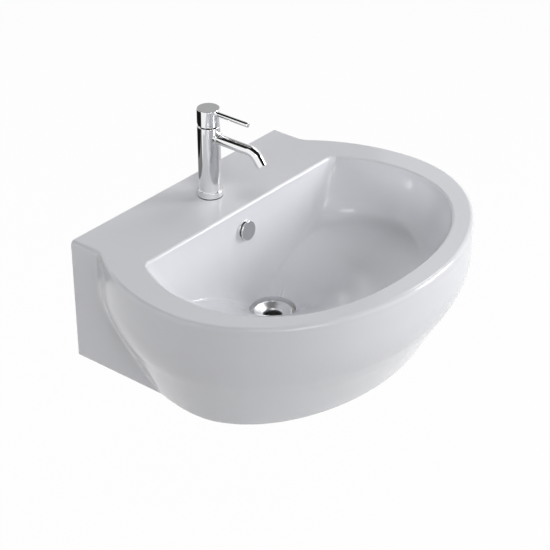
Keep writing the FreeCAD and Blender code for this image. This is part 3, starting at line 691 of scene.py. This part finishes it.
class BASIN_OT_light_studio(bpy.types.Operator):
    """Set up the pale floor, the soft lamps, the flags and the camera"""
    bl_idname = "basin.light_studio"
    bl_label = "Light the Studio"

    def execute(self, context):
        settings = context.scene.basin_studio
        self.lay_floor(settings)
        self.hang_lamps(settings)
        self.raise_flags()
        self.light_room(context.scene)
        self.stand_camera(context.scene, settings)
        context.scene.view_settings.view_transform = "Standard"
        return {"FINISHED"}

    def lay_floor(self, settings):
        reach, level = settings.floor_reach, settings.floor_level
        flat_panel("studio_floor", ((-reach, -reach, level), (reach, -reach, level),
                                    (reach, reach, level), (-reach, reach, level)),
                   studio_floor(settings))

    def hang_lamps(self, settings):
        """Low and high lamps, at their turns and lifts about the basin in degrees."""
        low, high = 18.0, 52.0
        for name, turn, lift, power in (
                ("key_lamp", -40.0, low, settings.key_power),
                ("front_lamp", -115.0, low, settings.front_power),
                ("back_lamp", 120.0, low, settings.back_power),
                ("far_lamp", 60.0, low, settings.far_power),
                ("high_left_lamp", -135.0, high, settings.high_left_power),
                ("high_right_lamp", 0.0, high, settings.high_right_power)):
            lamp = area_lamp(name, math.radians(turn), math.radians(lift), power,
                             settings)
            lamp.visible_glossy = name not in ("back_lamp", "far_lamp")

    def raise_flags(self):
        """Sheets that polished faces see as dark bands, a grey top and a grey foot."""
        black, plain_grey = flag_paint("black_flag", 0.01), flag_paint("grey_flag", 0.42)
        left, middle, right = -1.25, 0.7, 1.9
        front_left, front_right = -1.2, 2.3
        behind, before = 1.0, -3.0
        low, ceiling, high = 0.86, 1.75, 2.4
        hang_flag("back_flag", upright_sheet((left, middle), (low, ceiling), behind), black)
        hang_flag("ceiling_flag", (
            (left, behind, ceiling), (middle, behind, ceiling),
            (front_right, before, ceiling), (front_left, before, ceiling)), black)
        hang_flag("grey_flag", upright_sheet((middle, right), (low, high), behind),
                  plain_grey)
        near, across = 0.15, (-0.33, 0.3)
        foot, seam, top = -0.1, 0.03, 0.14
        hang_flag("wall_flag", upright_sheet(across, (seam, top), near), black)
        hang_flag("foot_flag", upright_sheet(across, (foot, seam), near),
                  flag_paint("foot_flag", 0.2))

    def light_room(self, scene):
        """White for the eye and for polished faces, and no light on the part itself."""
        world = bpy.data.worlds.new("studio_room")
        finish = Finish("studio_room", world)
        room = finish.node("ShaderNodeBackground", {}, {
            "Color": WHITE, "Strength": seen_or_mirrored(finish)}, "Background")
        finish.show(room, "ShaderNodeOutputWorld")
        scene.world = world

    def stand_camera(self, scene, settings):
        turn, height, roll = (settings.camera_turn, settings.camera_height,
                              settings.camera_roll)
        ahead = Vector((-math.sin(turn) * math.cos(height),
                        math.cos(turn) * math.cos(height), -math.sin(height)))
        level_right = Vector((math.cos(turn), math.sin(turn), 0.0))
        level_up = level_right.cross(ahead)
        right = level_right * math.cos(roll) + level_up * math.sin(roll)
        upward = level_up * math.cos(roll) - level_right * math.sin(roll)
        lens = bpy.data.cameras.new("studio_camera")
        lens.lens = settings.camera_lens
        lens.sensor_width = FILM_WIDTH
        camera = bpy.data.objects.new("studio_camera", lens)
        turned = Matrix((right, upward, -ahead)).transposed().to_4x4()
        camera.matrix_world = Matrix.Translation(settings.camera_place) @ turned
        scene.collection.objects.link(camera)
        scene.camera = camera


class BASIN_PT_panel(bpy.types.Panel):
    """Lists the settings and the steps, in the order in which they run"""
    bl_label = "Semi Recessed Basin"
    bl_idname = "BASIN_PT_panel"
    bl_space_type = "VIEW_3D"
    bl_region_type = "UI"
    bl_category = "Basin"

    def draw(self, context):
        scene = context.scene
        for group, steps in (
                (scene.basin_ceramic, (BASIN_OT_glaze_basin,)),
                (scene.basin_fittings, (BASIN_OT_plate_fittings,
                                        BASIN_OT_finish_hardware)),
                (scene.basin_threads, (BASIN_OT_thread_waste, BASIN_OT_thread_stud)),
                (scene.basin_studio, (BASIN_OT_light_studio,))):
            box = self.layout.box()
            for name in group.__annotations__:
                box.prop(group, name)
            for step in steps:
                box.operator(step.bl_idname)


SETTINGS = (("basin_ceramic", CeramicSettings), ("basin_fittings", FittingSettings),
            ("basin_threads", ThreadSettings), ("basin_studio", StudioSettings))
OPERATORS = (BASIN_OT_glaze_basin, BASIN_OT_plate_fittings, BASIN_OT_finish_hardware,
             BASIN_OT_thread_waste, BASIN_OT_thread_stud, BASIN_OT_light_studio)


def register():
    for name, group in SETTINGS:
        bpy.utils.register_class(group)
        setattr(bpy.types.Scene, name, bpy.props.PointerProperty(type=group))
    for step in OPERATORS:
        bpy.utils.register_class(step)
    bpy.utils.register_class(BASIN_PT_panel)


def unregister():
    bpy.utils.unregister_class(BASIN_PT_panel)
    for step in reversed(OPERATORS):
        bpy.utils.unregister_class(step)
    for name, group in reversed(SETTINGS):
        delattr(bpy.types.Scene, name)
        bpy.utils.unregister_class(group)


def main():
    register()
    bpy.ops.basin.glaze_basin()
    bpy.ops.basin.plate_fittings()
    bpy.ops.basin.finish_hardware()
    bpy.ops.basin.thread_waste()
    bpy.ops.basin.thread_stud()
    bpy.ops.basin.light_studio()


if __name__ == "__main__":
    main()
